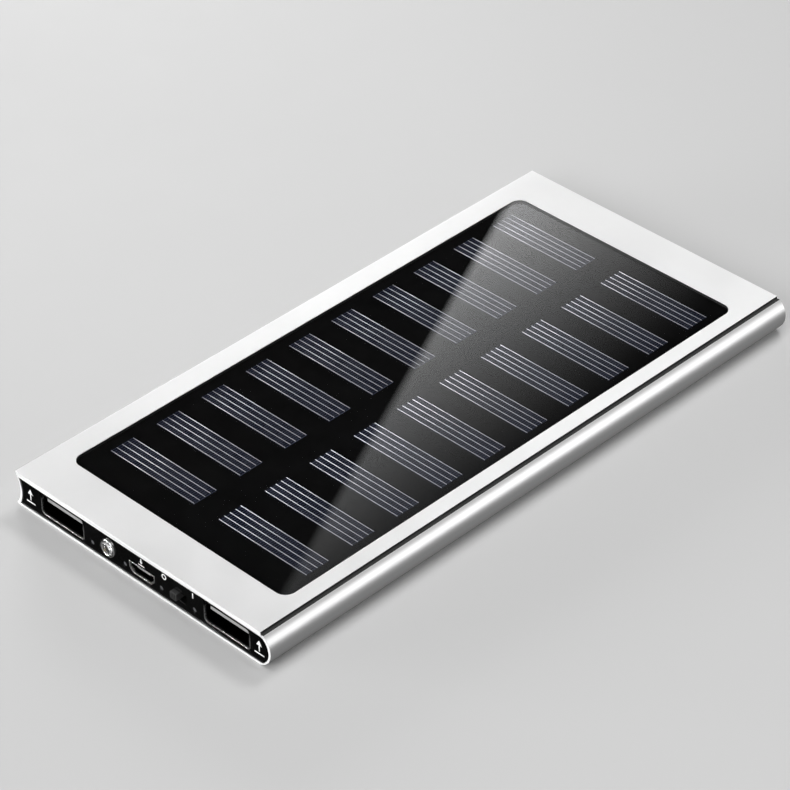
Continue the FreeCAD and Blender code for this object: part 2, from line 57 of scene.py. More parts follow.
sleeve_low, sleeve_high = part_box("aluminium_sleeve")
glass_low, glass_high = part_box("solar_glass")
cells_low, cells_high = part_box("solar_cells")
knob_low, knob_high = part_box("switch_slider")
ring_low, ring_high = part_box("torch_ring")
lamp_low, lamp_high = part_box("torch_lamp")
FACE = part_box("port_end_cap")[0].y               # y of the port end's black face


# ---------------------------------------------------------------- mesh helpers

def piece_from(bm, name, materials, body="case"):
    """A finished object from a bmesh, at the origin and riding on a body."""
    mesh = bpy.data.meshes.new(name)
    bm.to_mesh(mesh)
    bm.free()
    piece = bpy.data.objects.new(name, mesh)
    bpy.context.scene.collection.objects.link(piece)
    for material in materials:
        mesh.materials.append(material)
    for face in mesh.polygons:
        face.use_smooth = True
    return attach(piece, body)


def soften_edges(piece, width, segments=3, angle=28, edge_material=-1):
    """Breaks the sharp edges with a small bevel and keeps the flats flat."""
    bevel = piece.modifiers.new("broken edges", "BEVEL")
    bevel.limit_method = "ANGLE"
    bevel.angle_limit = math.radians(angle)
    bevel.width = width
    bevel.segments = segments
    bevel.use_clamp_overlap = True
    bevel.material = edge_material
    flats = piece.modifiers.new("flat faces", "WEIGHTED_NORMAL")
    flats.keep_sharp = False
    flats.weight = 100
    return piece


def from_cad(node, name, materials, width, segments=3, body="case", edge_material=-1):
    """A copy of a CAD node with its corners joined and its edges broken, which stands for the node."""
    bm = bmesh.new()
    bm.from_mesh(NODES[node].data)
    bmesh.ops.remove_doubles(bm, verts=bm.verts, dist=1e-7)
    bmesh.ops.dissolve_limit(bm, angle_limit=math.radians(0.5), verts=bm.verts, edges=bm.edges)
    drop_stored_normals(bm)
    piece = piece_from(bm, name, materials, body)
    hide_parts(node)
    return soften_edges(piece, width, segments, edge_material=edge_material)


def drop_stored_normals(bm):
    """The copied shading normals would no longer fit the joined faces."""
    for layers in (bm.loops.layers.float_vector, bm.loops.layers.int):
        for name in [name for name in layers.keys() if "normal" in name]:
            layers.remove(layers[name])


def arc(centre, radius, start, stop, steps):
    """Points on an arc in the XZ plane, between two angles in degrees from +X towards +Z."""
    angles = [math.radians(start + (stop - start) * step / steps) for step in range(steps + 1)]
    return [Vector((centre[0] + radius * math.cos(a), 0, centre[1] + radius * math.sin(a))) for a in angles]


def rounded_rectangle(low, high, radius, steps=6):
    """The outline of a rectangle in the XZ plane with round corners, anticlockwise."""
    points = []
    corners = ((high[0] - radius, high[1] - radius, 0), (low[0] + radius, high[1] - radius, 90),
               (low[0] + radius, low[1] + radius, 180), (high[0] - radius, low[1] + radius, 270))
    for x, z, angle in corners:
        points += arc((x, z), radius, angle, angle + 90, steps)
    return points


def ring_of_edges(bm, points):
    """A closed loop of edges through the points."""
    verts = [bm.verts.new(point) for point in points]
    return [bm.edges.new((first, second)) for first, second in zip(verts, verts[1:] + verts[:1])]


def prism(bm, points, start, length, along=Y):
    """A solid with the outline's section, pushed along a direction from its start."""
    verts = [bm.verts.new(point + along * start) for point in points]
    face = bm.faces.new(verts)
    pushed = bmesh.ops.extrude_face_region(bm, geom=[face])
    moved = [item for item in pushed["geom"] if isinstance(item, bmesh.types.BMVert)]
    bmesh.ops.translate(bm, verts=moved, vec=along * length)
    return verts + moved


def block(bm, low, high):
    """A box between two corners, as its new vertices."""
    low, high = Vector(low), Vector(high)
    place = Matrix.Translation((low + high) / 2) @ Matrix.Diagonal((*(high - low), 1))
    return bmesh.ops.create_cube(bm, size=1, matrix=place)["verts"]


def lathe(bm, profile, centre, steps=48):
    """Turns a profile of (radius, y) pairs about the line along Y through the centre's x and z."""
    verts = [bm.verts.new((centre[0] + radius, y, centre[1])) for radius, y in profile]
    edges = [bm.edges.new(pair) for pair in zip(verts, verts[1:])]
    bmesh.ops.spin(bm, geom=verts + edges, cent=(centre[0], 0, centre[1]), axis=Y, dvec=(0, 0, 0),
                   angle=math.tau, steps=steps, use_merge=True)
    bmesh.ops.remove_doubles(bm, verts=bm.verts, dist=1e-8)


def face_outwards(bm):
    """Turns every face of a closed shape outwards."""
    bmesh.ops.recalc_face_normals(bm, faces=bm.faces)
    return bm


# ---------------------------------------------------------------- node helpers

def add_node(tree, kind, inputs=None, **settings):
    """A shader node with its settings, and its inputs set to values or linked to sockets."""
    node = tree.nodes.new(kind)
    for name, setting in settings.items():
        setattr(node, name, setting)
    for name, given in (inputs or {}).items():
        socket = node.inputs[name]
        if isinstance(given, bpy.types.NodeSocket):
            tree.links.new(given, socket)
        else:
            socket.default_value = given
    return node


def maths(tree, operation, first, second=0.0, third=0.0):
    """The result of a sum on values or sockets."""
    node = add_node(tree, "ShaderNodeMath", {0: first, 1: second, 2: third}, operation=operation)
    return node.outputs[0]


MIX_FIRST, MIX_SECOND, MIX_RESULT = 6, 7, 2      # where a Mix node keeps its colours among its sockets


def mixed_colour(tree, factor, first, second):
    """The first colour at a factor of 0 and the second at 1."""
    node = add_node(tree, "ShaderNodeMix", {"Factor": factor}, data_type="RGBA")
    for place, given in ((MIX_FIRST, first), (MIX_SECOND, second)):
        if isinstance(given, bpy.types.NodeSocket):
            tree.links.new(given, node.inputs[place])
        else:
            node.inputs[place].default_value = given
    return node.outputs[MIX_RESULT]


def remapped(tree, value, low, high, to_low, to_high):
    """The value carried from one range to another, held at the ends."""
    inputs = {"Value": value, "From Min": low, "From Max": high, "To Min": to_low, "To Max": to_high}
    return add_node(tree, "ShaderNodeMapRange", inputs).outputs[0]


def how_far_along(tree, place, way):
    """The dot product of a vector socket and a fixed direction."""
    node = add_node(tree, "ShaderNodeVectorMath", {0: place, 1: way}, operation="DOT_PRODUCT")
    return node.outputs["Value"]


def ramp_along(tree, place, way, start, stop):
    """A value that goes from 0 at one point to 1 at another, in the direction given."""
    here = how_far_along(tree, place, way)
    return remapped(tree, here, way.dot(start), way.dot(stop), 0.0, 1.0)


def shader_group(name, inputs, outputs):
    """A new node group with named sockets, as (tree, its input node, its output node)."""
    tree = bpy.data.node_groups.new(name, "ShaderNodeTree")
    for way, sockets in (("INPUT", inputs), ("OUTPUT", outputs)):
        for label, kind in sockets:
            tree.interface.new_socket(label, in_out=way, socket_type="NodeSocket" + kind)
    return tree, tree.nodes.new("NodeGroupInput"), tree.nodes.new("NodeGroupOutput")


def grain_group():
    """Two colours mottled by noise, a roughness that drifts with it, and a finer grain as height."""
    tree, given, made = shader_group(
        "surface grain",
        [("Colour", "Color"), ("Second Colour", "Color"), ("Mottle Size", "Float"), ("Grain Size", "Float"),
         ("Smoothest", "Float"), ("Roughest", "Float")],
        [("Colour", "Color"), ("Roughness", "Float"), ("Height", "Float")])
    place = add_node(tree, "ShaderNodeTexCoord").outputs["Object"]
    wide = maths(tree, "DIVIDE", 1.0, given.outputs["Mottle Size"])
    fine = maths(tree, "DIVIDE", 1.0, given.outputs["Grain Size"])
    mottle = add_node(tree, "ShaderNodeTexNoise", {"Vector": place, "Scale": wide, "Detail": 3.0})
    grain = add_node(tree, "ShaderNodeTexNoise", {"Vector": place, "Scale": fine, "Detail": 2.0})
    shade = remapped(tree, mottle.outputs["Fac"], 0.3, 0.7, 0.0, 1.0)
    tree.links.new(mixed_colour(tree, shade, given.outputs["Colour"], given.outputs["Second Colour"]),
                   made.inputs["Colour"])
    blend = maths(tree, "MULTIPLY_ADD", grain.outputs["Fac"], 0.4, maths(tree, "MULTIPLY", shade, 0.6))
    rough = add_node(tree, "ShaderNodeMapRange", {"Value": blend, "To Min": given.outputs["Smoothest"],
                                                  "To Max": given.outputs["Roughest"]})
    tree.links.new(rough.outputs[0], made.inputs["Roughness"])
    tree.links.new(grain.outputs["Fac"], made.inputs["Height"])
    return tree


def brushed_group():
    """Fine straight lines along X or Y, as a mask and as height."""
    tree, given, made = shader_group("drawn lines", [("Line Size", "Float"), ("Stretch", "Vector")],
                                     [("Lines", "Float"), ("Height", "Float")])
    place = add_node(tree, "ShaderNodeTexCoord").outputs["Object"]
    stretched = add_node(tree, "ShaderNodeVectorMath", {0: place, 1: given.outputs["Stretch"]},
                         operation="MULTIPLY").outputs[0]
    scale = maths(tree, "DIVIDE", 1.0, given.outputs["Line Size"])
    lines = add_node(tree, "ShaderNodeTexNoise", {"Vector": stretched, "Scale": scale, "Detail": 4.0})
    tree.links.new(remapped(tree, lines.outputs["Fac"], 0.35, 0.65, 0.0, 1.0), made.inputs["Lines"])
    tree.links.new(lines.outputs["Fac"], made.inputs["Height"])
    return tree


GRAIN = grain_group()
BRUSHED = brushed_group()


def place_group(tree, group, **inputs):
    """A shared group in a material, with its own values; an underscore stands for a space."""
    node = tree.nodes.new("ShaderNodeGroup")
    node.node_tree = group
    for name, given in inputs.items():
        node.inputs[name.replace("_", " ")].default_value = given
    return node


def grey(level):
    """An even grey, opaque."""
    return (level, level, level, 1.0)


def start_material(name, **surface):
    """A new material and its Principled shader, with even values set on the shader's own sockets."""
    material = bpy.data.materials.new(name)
    material.use_nodes = True
    shader = material.node_tree.nodes["Principled BSDF"]
    for socket, given in surface.items():
        shader.inputs[socket.replace("_", " ")].default_value = given
    return material, material.node_tree, shader


def bump(tree, shader, height, depth, strength=1.0):
    """Raises the surface by a height from 0 to 1, the depth in metres."""
    node = add_node(tree, "ShaderNodeBump", {"Height": height, "Distance": depth, "Strength": strength})
    tree.links.new(node.outputs["Normal"], shader.inputs["Normal"])


def grained(name, colour, second, rough, mottle=4 * MM, grain=0.3 * MM, depth=0.01 * MM, **surface):
    """A material of mottled colour with a fine grain; rough is its smoothest and roughest."""
    material, tree, shader = start_material(name, **surface)
    group = place_group(tree, GRAIN, Colour=colour, Second_Colour=second, Mottle_Size=mottle,
                        Grain_Size=grain, Smoothest=rough[0], Roughest=rough[1])
    tree.links.new(group.outputs["Colour"], shader.inputs["Base Color"])
    tree.links.new(group.outputs["Roughness"], shader.inputs["Roughness"])
    bump(tree, shader, group.outputs["Height"], depth)
    return material


def brushed(name, colour, second, rough, size, stretch, depth=0.004 * MM, **surface):
    """A drawn or rolled metal whose lines run along the axis that the stretch squeezes."""
    material, tree, shader = start_material(name, Metallic=1.0, **surface)
    group = place_group(tree, BRUSHED, Line_Size=size, Stretch=stretch)
    lines = group.outputs["Lines"]
    tree.links.new(mixed_colour(tree, lines, colour, second), shader.inputs["Base Color"])
    tree.links.new(remapped(tree, lines, 0.0, 1.0, *rough), shader.inputs["Roughness"])
    bump(tree, shader, group.outputs["Height"], depth)
    return material


# ---------------------------------------------------------------- finishes

def blasted_aluminium():
    """The fine matt silver of the sleeve."""
    return grained("blasted_aluminium", grey(0.89), grey(0.87), (0.37, 0.415), mottle=9 * MM,
                   grain=0.12 * MM, depth=0.0025 * MM, Metallic=1.0)


def bright_edge():
    """The narrow cut that runs round the ends and the window."""
    return grained("bright_cut_edge", grey(0.95), grey(0.90), (0.26, 0.36), mottle=3 * MM, grain=0.1 * MM,
                   depth=0.001 * MM, Metallic=1.0)


def piano_black():
    """The caps' gloss plastic, with the faint ripple of a moulding."""
    return grained("piano_black_plastic", grey(0.002), grey(0.0035), (0.08, 0.16), mottle=5 * MM,
                   grain=0.5 * MM, depth=0.002 * MM)


def cover_glass():
    """Clear glass. Rays towards lamps go straight through it, so the cells under it are lit."""
    material, tree, shader = start_material("cover_glass", Metallic=0.0, IOR=1.5, Transmission_Weight=1.0)
    group = place_group(tree, GRAIN, Colour=grey(0.98), Second_Colour=(0.94, 0.97, 1.0, 1),
                        Mottle_Size=30 * MM, Grain_Size=6 * MM, Smoothest=0.0, Roughest=0.01)
    tree.links.new(group.outputs["Colour"], shader.inputs["Base Color"])
    tree.links.new(group.outputs["Roughness"], shader.inputs["Roughness"])
    let_lamps_through(tree, shader, grey(0.9))
    return material


def let_lamps_through(tree, shader, tint):
    """Rays from lamps, and those scattered by what lies behind, go straight through the glass."""
    open_way = add_node(tree, "ShaderNodeBsdfTransparent", {"Color": tint})
    path = add_node(tree, "ShaderNodeLightPath")
    seen = shader.outputs[0]
    for rays in ("Is Shadow Ray", "Is Diffuse Ray"):
        seen = add_node(tree, "ShaderNodeMixShader", {0: path.outputs[rays], 1: seen,
                                                      2: open_way.outputs[0]}).outputs[0]
    tree.links.new(seen, tree.nodes["Material Output"].inputs["Surface"])


FINGER_PITCH = 0.64 * MM                         # from one fine line across a cell to the next
FINGER_HALF, FINGER_FADE = 0.02 * MM, 0.07 * MM  # from a fine line's middle to where it fades and has gone
CRYSTAL_SIZE = 2.2 * MM


def silicon():
    """Dark blue cells with fine printed fingers across the busbars and a slight crystal mottle."""
    material, tree, shader = start_material("cell_silicon", Metallic=0.0, Specular_IOR_Level=0.02)
    place = add_node(tree, "ShaderNodeTexCoord").outputs["Object"]
    crystals = add_node(tree, "ShaderNodeTexVoronoi", {"Vector": place, "Scale": 1 / CRYSTAL_SIZE})
    tone = add_node(tree, "ShaderNodeSeparateColor", {"Color": crystals.outputs["Color"]}).outputs[0]
    blue = mixed_colour(tree, tone, (0.0030, 0.0037, 0.0082, 1), (0.0052, 0.0062, 0.0130, 1))
    x = add_node(tree, "ShaderNodeSeparateXYZ", {"Vector": place}).outputs["X"]
    sweep = maths(tree, "PINGPONG", x, FINGER_PITCH / 2)
    finger = remapped(tree, sweep, FINGER_HALF, FINGER_FADE, 1.0, 0.0)
    tree.links.new(mixed_colour(tree, finger, blue, (0.052, 0.060, 0.096, 1)), shader.inputs["Base Color"])
    tree.links.new(remapped(tree, tone, 0.0, 1.0, 0.25, 0.42), shader.inputs["Roughness"])
    bump(tree, shader, finger, 0.004 * MM)
    return material


def clear_lens():
    """The torch's clear plastic."""
    material, tree, shader = start_material("clear_lens", Metallic=0.0, IOR=1.49, Transmission_Weight=1.0)
    group = place_group(tree, GRAIN, Colour=grey(1.0), Second_Colour=grey(0.96), Mottle_Size=3 * MM,
                        Grain_Size=0.4 * MM, Smoothest=0.0, Roughest=0.03)
    tree.links.new(group.outputs["Colour"], shader.inputs["Base Color"])
    tree.links.new(group.outputs["Roughness"], shader.inputs["Roughness"])
    let_lamps_through(tree, shader, grey(0.95))
    return material


SHADE_STARTS_IN, SHADE_BLACK_IN = 0.1 * MM, 0.6 * MM   # how far inside a socket the painted shade starts to darken the steel and is black
ROOF_SHADE_STARTS_AT, ROOF_SHADE_BLACK_AT = 4.6 * MM, 5.8 * MM  # the heights at which the painted shade does so under the roof


def shaded_socket_steel():
    """Tinned steel, bright at the mouth of a socket, with painted shade that darkens it to black deeper in and
    under its roof.
    """
    material, tree, shader = start_material("tinned_steel_painted_shade", Metallic=1.0)
    group = place_group(tree, BRUSHED, Line_Size=0.12 * MM, Stretch=(1, 0.06, 1))
    lines = group.outputs["Lines"]
    place = add_node(tree, "ShaderNodeTexCoord").outputs["Object"]
    # painted shade: the steel's colour goes to near black with depth into the socket and with height under its
    # roof
    deep = ramp_along(tree, place, Y, Y * (FACE + SHADE_STARTS_IN), Y * (FACE + SHADE_BLACK_IN))
    roof = ramp_along(tree, place, Z, Z * ROOF_SHADE_STARTS_AT, Z * ROOF_SHADE_BLACK_AT)
    black = maths(tree, "MAXIMUM", deep, roof)
    bright = mixed_colour(tree, lines, grey(0.86), grey(0.70))
    tree.links.new(mixed_colour(tree, black, bright, grey(0.012)), shader.inputs["Base Color"])
    tree.links.new(remapped(tree, lines, 0.0, 1.0, 0.22, 0.38), shader.inputs["Roughness"])
    bump(tree, shader, group.outputs["Height"], 0.003 * MM)
    return material


SLEEVE, EDGE, BLACK, GLASS = blasted_aluminium(), bright_edge(), piano_black(), cover_glass()
GROUND_EDGE = grained("blackened_glass_edge", grey(0.004), grey(0.006), (0.35, 0.5), mottle=2 * MM,
                      grain=0.1 * MM, Specular_IOR_Level=0.2)
SAWN_END = grained("sawn_end", grey(0.95), grey(0.91), (0.45, 0.55), mottle=2 * MM, grain=0.08 * MM,
                   depth=0.002 * MM, Metallic=0.35)
# painted shade: the groove's walls and bottom are coloured near black for the shadow in the narrow groove
SHADOW_GAP = grained("groove_painted_shade", grey(0.012), grey(0.02), (0.6, 0.8), mottle=2 * MM, grain=0.1 * MM)
SILICON, LENS = silicon(), clear_lens()
SILVER_INK = grained("silver_print", (0.60, 0.61, 0.65, 1), (0.51, 0.52, 0.56, 1), (0.35, 0.5),
                     mottle=1.5 * MM, grain=0.08 * MM, depth=0.004 * MM, Metallic=0.6)
LAMINATE = grained("black_laminate", grey(0.0032), grey(0.0048), (0.6, 0.8), mottle=6 * MM, grain=0.4 * MM,
                   Specular_IOR_Level=0.0)
WHITE_INK = grained("white_print", grey(0.80), grey(0.72), (0.5, 0.65), mottle=0.8 * MM, grain=0.06 * MM,
                    depth=0.002 * MM)
SHADED_TINNED_STEEL = shaded_socket_steel()
# painted light and shade: the tongue's one plastic has a pale copy for its lit front face and a near-black copy
# for its other faces; the pale one also colours the input blade
TONGUE = grained("tongue_nose", grey(0.30), grey(0.25), (0.45, 0.6), mottle=2 * MM, grain=0.1 * MM)
TONGUE_SHADED_SIDES = grained("tongue_plastic_painted_shade", grey(0.006), grey(0.01), (0.45, 0.6), mottle=2 * MM, grain=0.1 * MM)
GOLD = grained("gold_contact", (0.94, 0.68, 0.30, 1), (0.86, 0.58, 0.24, 1), (0.2, 0.32), mottle=1 * MM,
               grain=0.08 * MM, depth=0.002 * MM, Metallic=1.0)
CHROME = grained("chrome_ring", grey(0.92), grey(0.84), (0.05, 0.12), mottle=2 * MM, grain=0.2 * MM,
                 depth=0.0008 * MM, Metallic=1.0)
FROSTED = grained("frosted_pipe", (0.11, 0.112, 0.118, 1), (0.08, 0.082, 0.088, 1), (0.25, 0.4),
                  mottle=0.6 * MM, grain=0.05 * MM, depth=0.003 * MM)
PHOSPHOR = grained("phosphor", (0.95, 0.72, 0.12, 1), (0.85, 0.62, 0.08, 1), (0.5, 0.7), mottle=0.4 * MM,
                   grain=0.05 * MM)
KNOB = grained("knob_plastic", grey(0.026), grey(0.036), (0.35, 0.5), mottle=1 * MM, grain=0.07 * MM,
               depth=0.006 * MM)
HIDDEN_FINISHES = {
    "gasket": grained("adhesive_foam", grey(0.03), grey(0.05), (0.8, 0.95), grain=0.1 * MM, depth=0.03 * MM),
    "tray": grained("tray_plastic", grey(0.05), grey(0.065), (0.4, 0.55), grain=0.15 * MM),
    "pouch": grained("pouch_foil", grey(0.72), grey(0.62), (0.25, 0.42), mottle=9 * MM, grain=1.2 * MM,
                     depth=0.05 * MM, Metallic=1.0),
    "tab": brushed("nickel_strip", (0.66, 0.64, 0.60, 1), (0.56, 0.54, 0.50, 1), (0.25, 0.4), 0.15 * MM,
                   (1, 0.08, 1)),
    "tape": grained("double_sided_tape", (0.85, 0.82, 0.72, 1), (0.78, 0.75, 0.64, 1), (0.6, 0.75)),
    "foam": grained("soft_foam", grey(0.09), grey(0.13), (0.85, 1.0), grain=0.2 * MM, depth=0.06 * MM),
    "board": grained("solder_mask", (0.01, 0.10, 0.045, 1), (0.008, 0.075, 0.035, 1), (0.2, 0.35),
                     mottle=3 * MM, Coat_Weight=0.5),
    "lamp": grained("lamp_body", (0.85, 0.84, 0.72, 1), (0.75, 0.74, 0.60, 1), (0.3, 0.45), mottle=0.5 * MM),
    "switch_case": brushed("switch_steel", grey(0.60), grey(0.48), (0.25, 0.4), 0.15 * MM, (0.08, 1, 1)),
    "chip": grained("epoxy_chip", grey(0.02), grey(0.03), (0.55, 0.7), grain=0.08 * MM, depth=0.01 * MM),
    "ferrite": grained("ferrite", grey(0.07), grey(0.11), (0.6, 0.8), grain=0.2 * MM, depth=0.02 * MM),
    "capacitor": grained("capacitor_ceramic", (0.46, 0.34, 0.22, 1), (0.38, 0.28, 0.18, 1), (0.4, 0.55)),
    "diode": grained("diode_plastic", grey(0.025), grey(0.04), (0.5, 0.65)),
    "lead_red": grained("red_insulation", (0.5, 0.02, 0.02, 1), (0.42, 0.015, 0.015, 1), (0.35, 0.5)),
    "lead_black": grained("black_insulation", grey(0.02), grey(0.03), (0.35, 0.5)),
    "screw": grained("zinc_screw", grey(0.55), grey(0.45), (0.25, 0.4), mottle=1 * MM, Metallic=1.0),
}


def finish_cad_nodes():
    """Gives every CAD node the finish of its slot."""
    shown = {"cell": SILICON, "backing": LAMINATE, "contact": GOLD, "cover_glass": GLASS, "sleeve": SLEEVE,
             "cap": BLACK, "port_shell": SHADED_TINNED_STEEL, "tongue": TONGUE, "lens": LENS, "ring": CHROME,
             "pipe": FROSTED, "slider": KNOB}
    for part in frame["record"]["subparts"]:
        slots = NODES[part["node"]].data.materials
        slots.clear()
        slots.append({**shown, **HIDDEN_FINISHES}[part["material_slot"]])


# ---------------------------------------------------------------- casing

SPINE_RADIUS, SPINE_INSIDE = 4.4 * MM, 3.8 * MM
FORE_RADIUS, FORE_DEPTH, FORE_WALL = 6.4 * MM, 1.2 * MM, 0.65 * MM
BEAD_RADIUS = 0.5 * MM
GROOVE_MIDDLE, GROOVE_WIDTH, GROOVE_DEPTH = 35.2 * MM, 0.8 * MM, 0.55 * MM
TOP_WALL, FLOOR_WALL = 1.15 * MM, 0.65 * MM
WINDOW_GAP, WINDOW_CORNER = 0.05 * MM, 2.65 * MM
WINDOW_SPARE = 0.4 * MM                          # how far the window's cutter starts below the top wall
CASING_EDGE = 0.11 * MM                          # how wide the broken edges are
SHARP = math.radians(24)                         # edges that turn by more than this are broken
SLIVER = 0.01 * MM
METAL_FACES, EDGE_FACES, GROOVE_FACES, END_FACES = range(4)


def arc_between(start, finish, radius, bulge, steps):
    """Points from start to finish on an arc that bulges to one side, +1 for +X and -1 for -X."""
    middle, chord = (start + finish) / 2, (finish - start).length
    rise = math.sqrt(radius ** 2 - chord ** 2 / 4)
    centre = middle - X * bulge * rise
    swing = math.asin(chord / 2 / radius)
    upward = 1 if finish.z > start.z else -1
    angles = [upward * swing * (2 * step / steps - 1) for step in range(steps + 1)]
    return [centre + Vector((bulge * radius * math.cos(a), 0, radius * math.sin(a))) for a in angles]


def outer_section():
    """The sleeve's outside, anticlockwise from the underside: spine, groove, top, hollow fore-edge, bead."""
    width, height = sleeve_high.x, sleeve_high.z
    spine_x = width - SPINE_RADIUS + math.sqrt(SPINE_RADIUS ** 2 - height ** 2 / 4)
    spine = arc_between(Vector((spine_x, 0, 0)), Vector((spine_x, 0, height)), SPINE_RADIUS, 1, 44)
    groove_end = GROOVE_MIDDLE + GROOVE_WIDTH / 2
    bottom = height - GROOVE_DEPTH
    spine = [point for point in spine if point.x > groove_end or point.z < height / 2]
    spine_z = height / 2 + math.sqrt(SPINE_RADIUS ** 2 - (groove_end - width + SPINE_RADIUS) ** 2)
    groove = [Vector((groove_end, 0, spine_z)), Vector((groove_end, 0, bottom)),
              Vector((groove_end - GROOVE_WIDTH, 0, bottom)), Vector((groove_end - GROOVE_WIDTH, 0, height))]
    fore = arc_between(Vector((-width, 0, height)), Vector((-width, 0, BEAD_RADIUS)), FORE_RADIUS, 1, 28)
    bead = arc((BEAD_RADIUS - width, BEAD_RADIUS), BEAD_RADIUS, 180, 270, 6)[1:]
    return spine + groove + fore + bead


def inner_section():
    """The space inside the sleeve."""
    low, high = FLOOR_WALL, sleeve_high.z - TOP_WALL
    half = (high - low) / 2
    spine_x = sleeve_high.x - SPINE_RADIUS + math.sqrt(SPINE_INSIDE ** 2 - half ** 2)
    hollow = FORE_RADIUS + FORE_WALL
    fore_x = FORE_DEPTH - sleeve_high.x - FORE_RADIUS + math.sqrt(hollow ** 2 - half ** 2)
    spine = arc_between(Vector((spine_x, 0, low)), Vector((spine_x, 0, high)), SPINE_INSIDE, 1, 32)
    fore = arc_between(Vector((fore_x, 0, high)), Vector((fore_x, 0, low)), hollow, 1, 16)
    return spine + fore


def casing():
    """The extruded sleeve with its panel window; edges are broken and cut bright."""
    bm = bmesh.new()
    start = sleeve_low.y
    loops = []
    for section in (outer_section(), inner_section()):
        loops += ring_of_edges(bm, [point + Y * start for point in section])
    rim = bmesh.ops.bridge_loops(bm, edges=loops)["faces"]
    pushed = bmesh.ops.extrude_face_region(bm, geom=rim)
    moved = [item for item in pushed["geom"] if isinstance(item, bmesh.types.BMVert)]
    bmesh.ops.translate(bm, verts=moved, vec=Y * (sleeve_high.y - start))
    piece = piece_from(face_outwards(bm), "casing", [SLEEVE, EDGE, SHADOW_GAP, SAWN_END])
    cut_window(piece)
    finish_faces(piece.data)
    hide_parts("aluminium_sleeve")
    soften_edges(piece, CASING_EDGE, 3, edge_material=EDGE_FACES)
    piece.modifiers["broken edges"].limit_method = "WEIGHT"
    piece.modifiers["flat faces"].keep_sharp = True
    return piece


def in_groove(point):
    """Whether a point is on a wall or the bottom of the groove beside the spine."""
    beside = abs(point.x - GROOVE_MIDDLE) < GROOVE_WIDTH / 2 + SLIVER
    return beside and point.z > sleeve_high.z - GROOVE_DEPTH - SLIVER


def finish_faces(mesh):
    """Sawn ends, on the window too, painted shade on the groove's faces, and a bevel weight on the other sharp
    edges.
    """
    bm = bmesh.new()
    bm.from_mesh(mesh)
    weights = bm.edges.layers.float.new("bevel_weight_edge")
    for face in bm.faces:
        at_end = abs(face.calc_center_bounds().y) > glass_high.y
        if abs(face.normal.y) > 0.9:
            face.material_index = END_FACES if at_end else METAL_FACES
        elif in_groove(face.calc_center_median()):
            face.material_index = GROOVE_FACES
    for edge in bm.edges:
        if len(edge.link_faces) < 2 or edge.calc_face_angle(0) < SHARP:
            continue
        grooved = all(in_groove(vert.co) for vert in edge.verts)
        edge.smooth = not grooved
        edge[weights] = 0.0 if grooved else 1.0
    bm.to_mesh(mesh)
    bm.free()


def cut_window(piece):
    """Opens the top wall over the panel, with round corners, and keeps the cut as the piece's own mesh."""
    gap = Vector((WINDOW_GAP, WINDOW_GAP))
    outline = rounded_rectangle(glass_low.xy - gap, glass_high.xy + gap, WINDOW_CORNER, 12)
    bm = bmesh.new()
    laid_flat = [Vector((point.x, point.z, 0)) for point in outline]
    prism(bm, laid_flat, sleeve_high.z - TOP_WALL - WINDOW_SPARE, TOP_WALL + MM, along=Z)
    cutter = piece_from(face_outwards(bm), "window_cutter", [SLEEVE])
    window = piece.modifiers.new("window", "BOOLEAN")
    window.operation = "DIFFERENCE"
    window.solver = "EXACT"
    window.object = cutter
    graph = bpy.context.evaluated_depsgraph_get()
    cut = bpy.data.meshes.new_from_object(piece.evaluated_get(graph))
    piece.modifiers.remove(window)
    piece.data = cut
    bpy.data.objects.remove(cutter)
    return piece


# ---------------------------------------------------------------- panel

BARS_PER_CELL, BAR_PITCH, BAR_WIDTH, BAR_HEIGHT = 5, 1.5 * MM, 0.16 * MM, 0.014 * MM
CELL_ROWS, CELL_COLUMNS = 10, 2
CELL_LENGTH, CELL_WIDTH = 25.2 * MM, 6.4 * MM
BAR_INSET = 0.1 * MM                             # from a cell's end to the end of its lines


def cell_middles():
    """The middle of each cell, from the box that all of them fill."""
    across = cells_high.x - cells_low.x - CELL_LENGTH
    along = cells_high.y - cells_low.y - CELL_WIDTH
    for column in range(CELL_COLUMNS):
        for row in range(CELL_ROWS):
            yield Vector((cells_low.x + CELL_LENGTH / 2 + across * column / (CELL_COLUMNS - 1),
                          cells_low.y + CELL_WIDTH / 2 + along * row / (CELL_ROWS - 1), cells_high.z))


def busbars():
    """The five printed silver lines that run the length of each cell."""
    bm = bmesh.new()
    reach = CELL_LENGTH / 2 - BAR_INSET
    for middle in cell_middles():
        for number in range(BARS_PER_CELL):
            y = middle.y + (number - (BARS_PER_CELL - 1) / 2) * BAR_PITCH
            block(bm, (middle.x - reach, y - BAR_WIDTH / 2, middle.z),
                  (middle.x + reach, y + BAR_WIDTH / 2, middle.z + BAR_HEIGHT))
    piece = piece_from(bm, "cell_busbars", [SILVER_INK])
    return piece


def panel():
    """The cover glass, clear above and below and blackened round its rim, and the lines on the cells."""
    glass = from_cad("solar_glass", "cover_glass", [GLASS, GROUND_EDGE], 0.08 * MM, 2, edge_material=1)
    for face in glass.data.polygons:
        face.material_index = int(abs(face.normal.z) < 0.5)
    busbars()


# ---------------------------------------------------------------- port end

def caps():
    """Both end caps, with their edges broken."""
    for node, name in (("port_end_cap", "port_cap"), ("tail_end_cap", "tail_cap")):
        from_cad(node, name, [BLACK], 0.07 * MM, 2)


